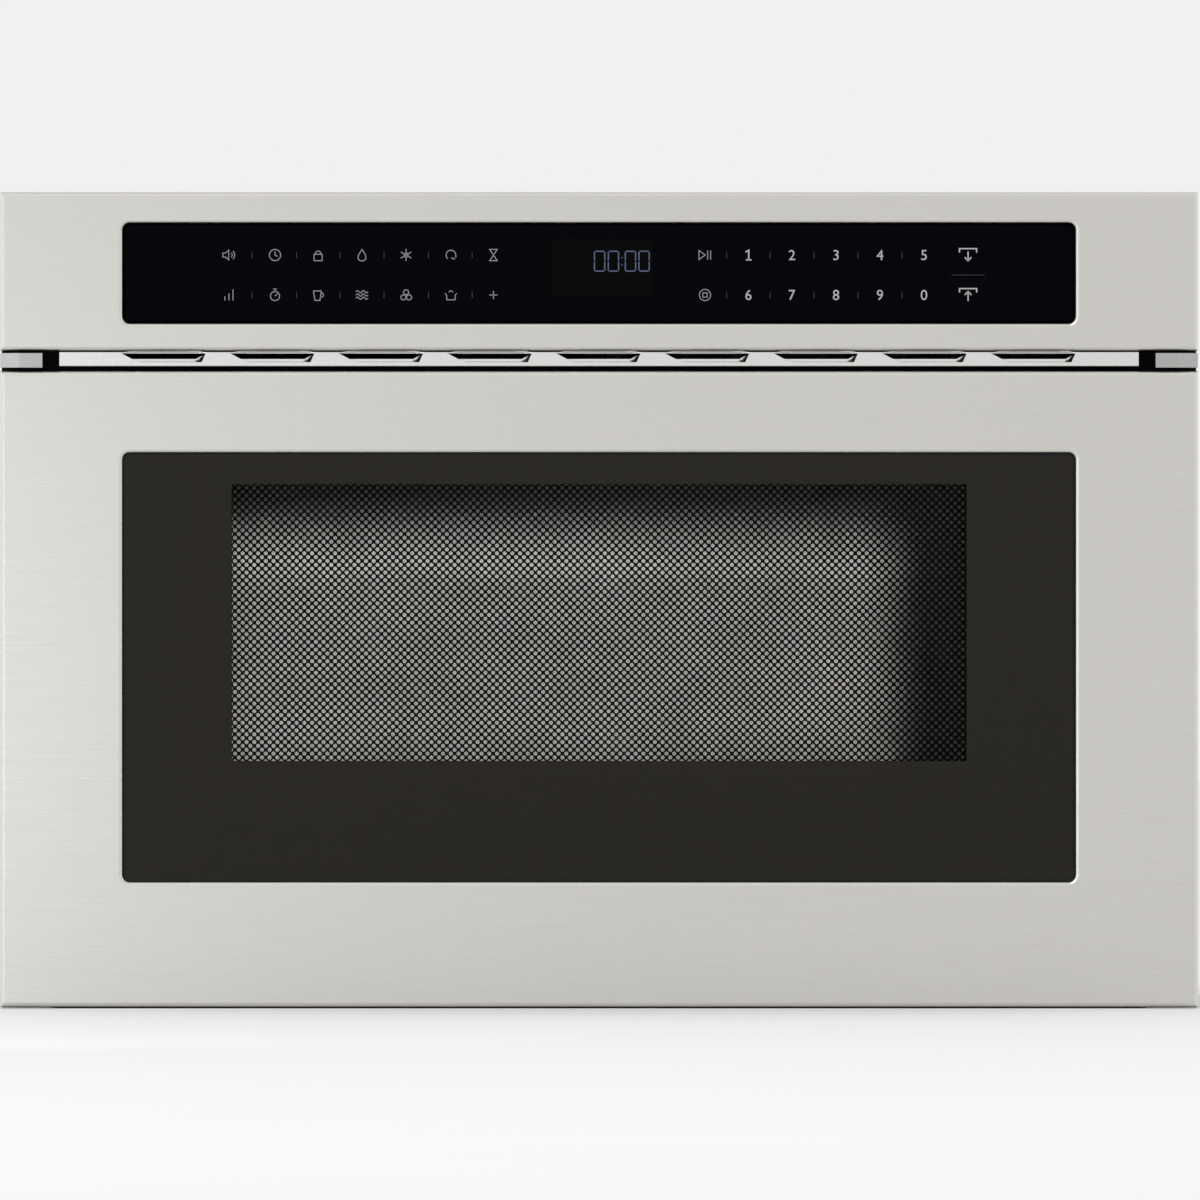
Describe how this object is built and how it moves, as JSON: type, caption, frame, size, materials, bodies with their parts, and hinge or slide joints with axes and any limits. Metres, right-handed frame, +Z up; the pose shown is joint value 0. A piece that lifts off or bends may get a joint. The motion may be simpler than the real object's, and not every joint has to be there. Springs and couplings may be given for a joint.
{
  "type": "microwave drawer",
  "caption": "Built-in microwave oven drawer with a glass touch fascia, louvred vent strip and a motor-driven drawer on telescopic slides.",
  "frame": {"origin": "centre of the bottom of the whole appliance", "axes": "+X to the right as seen from the front, +Y into the cabinet (the front faces -Y), +Z up"},
  "size_m": [0.606, 0.59, 0.4128],
  "materials": {
    "brushed_stainless": "fine horizontal brushing",
    "zinc_plated_steel": "zinc plated sheet",
    "black_painted_steel": "satin black paint",
    "grey_cavity_enamel": "light grey baked paint",
    "black_control_glass": "polished, printed black behind",
    "smoked_drawer_glass": "polished, smoked, black printed border",
    "clear_inner_glass": "polished",
    "glass_ceramic": "polished white glass-ceramic",
    "light_polymer": "light grey moulding",
    "dark_polymer": "black moulding",
    "red_polymer": "red moulding",
    "fin_aluminium": "mill finish",
    "lamination_steel": "varnished laminations",
    "copper_winding": "enamelled copper wire",
    "circuit_board": "green solder mask",
    "black_phenolic": "moulded phenolic",
    "plated_screw": "bright zinc",
    "black_rubber": "matt"
  },
  "bodies": {
    "housing": {"base_plate": "zinc_plated_steel", "outer_wrapper": "zinc_plated_steel", "rear_panel": "zinc_plated_steel", "front_frame": "black_painted_steel", "housing_screws": "plated_screw", "cord_gland": "dark_polymer", "cavity_liner": "grey_cavity_enamel", "stirrer_cover": "light_polymer", "waveguide": "zinc_plated_steel", "stirrer_motor": "fin_aluminium", "magnetron_yoke": "zinc_plated_steel", "magnetron_fins": "fin_aluminium", "thermal_cutouts": "black_phenolic", "oven_lamp": "clear_inner_glass", "fan_housing": "dark_polymer", "fan_motor": "lamination_steel", "air_duct": "dark_polymer", "exhaust_duct": "dark_polymer", "transformer_core": "lamination_steel", "transformer_windings": "copper_winding", "hv_capacitor": "fin_aluminium", "hv_diode": "black_phenolic", "filter_board": "circuit_board", "fascia_panel": "brushed_stainless", "control_glass": "black_control_glass", "touch_board": "circuit_board", "display_module": "dark_polymer", "control_carrier": "dark_polymer", "control_board": "circuit_board", "vent_grille": "brushed_stainless", "end_trims": "brushed_stainless", "slide_outer_right": "zinc_plated_steel", "slide_outer_left": "zinc_plated_steel", "slide_brackets": "zinc_plated_steel", "drive_gearmotor": "lamination_steel", "switch_bracket": "zinc_plated_steel", "interlock_switches": "dark_polymer"},
    "drawer": {"drawer_front": "brushed_stainless", "drawer_glass": "smoked_drawer_glass", "glass_carrier": "dark_polymer", "perforated_screen": "black_painted_steel", "choke_frame": "black_painted_steel", "choke_cover": "dark_polymer", "inner_glass": "clear_inner_glass", "drawer_tub": "light_polymer", "floor_tray": "glass_ceramic", "slide_inners": "zinc_plated_steel", "drawer_carriage": "zinc_plated_steel", "drawer_screws": "plated_screw", "drawer_bumpers": "black_rubber", "interlock_strikers": "lamination_steel", "drive_rack": "dark_polymer"},
    "slide_mid_right": {"slide_mid_right": "zinc_plated_steel"},
    "slide_mid_left": {"slide_mid_left": "zinc_plated_steel"},
    "drive_pinion": {"drive_pinion": "dark_polymer"},
    "fan_impeller": {"fan_impeller": "dark_polymer"},
    "stirrer_blade": {"stirrer_blade": "light_polymer"},
    "switch_plunger_lower": {"switch_plunger_lower": "red_polymer"},
    "switch_plunger_upper": {"switch_plunger_upper": "red_polymer"}
  },
  "joints": [
    {"name": "drawer_slide", "type": "slide", "parent": "housing", "child": "drawer", "axis": [0, -1, 0], "range_m": [0, 0.38]},
    {"name": "right_slide_extension", "type": "slide", "parent": "housing", "child": "slide_mid_right", "axis": [0, -1, 0], "range_m": [0, 0.19]},
    {"name": "left_slide_extension", "type": "slide", "parent": "housing", "child": "slide_mid_left", "axis": [0, -1, 0], "range_m": [0, 0.19]},
    {"name": "pinion_spin", "type": "hinge", "parent": "housing", "child": "drive_pinion", "pos_m": [0, -0.24, 0.054], "axis": [0, 0, -1], "range_deg": [-2, 1620]},
    {"name": "fan_spin", "type": "hinge", "parent": "housing", "child": "fan_impeller", "pos_m": [0.1175, 0.231, 0.236], "axis": [1, 0, 0], "continuous": true},
    {"name": "stirrer_spin", "type": "hinge", "parent": "housing", "child": "stirrer_blade", "pos_m": [0, -0.05, 0.28], "axis": [0, 0, 1], "continuous": true},
    {"name": "lower_switch_press", "type": "slide", "parent": "housing", "child": "switch_plunger_lower", "axis": [0, 1, 0], "range_m": [0, 0.0015], "stiffness_N_per_m": 600},
    {"name": "upper_switch_press", "type": "slide", "parent": "housing", "child": "switch_plunger_upper", "axis": [0, 1, 0], "range_m": [0, 0.0015], "stiffness_N_per_m": 600}
  ],
  "couplings": [
    {"joint": "right_slide_extension", "follows": "drawer_slide", "ratio": 0.5},
    {"joint": "left_slide_extension", "follows": "drawer_slide", "ratio": 0.5},
    {"joint": "pinion_spin", "follows": "drawer_slide", "rad_per_m": 74.074}
  ]
}
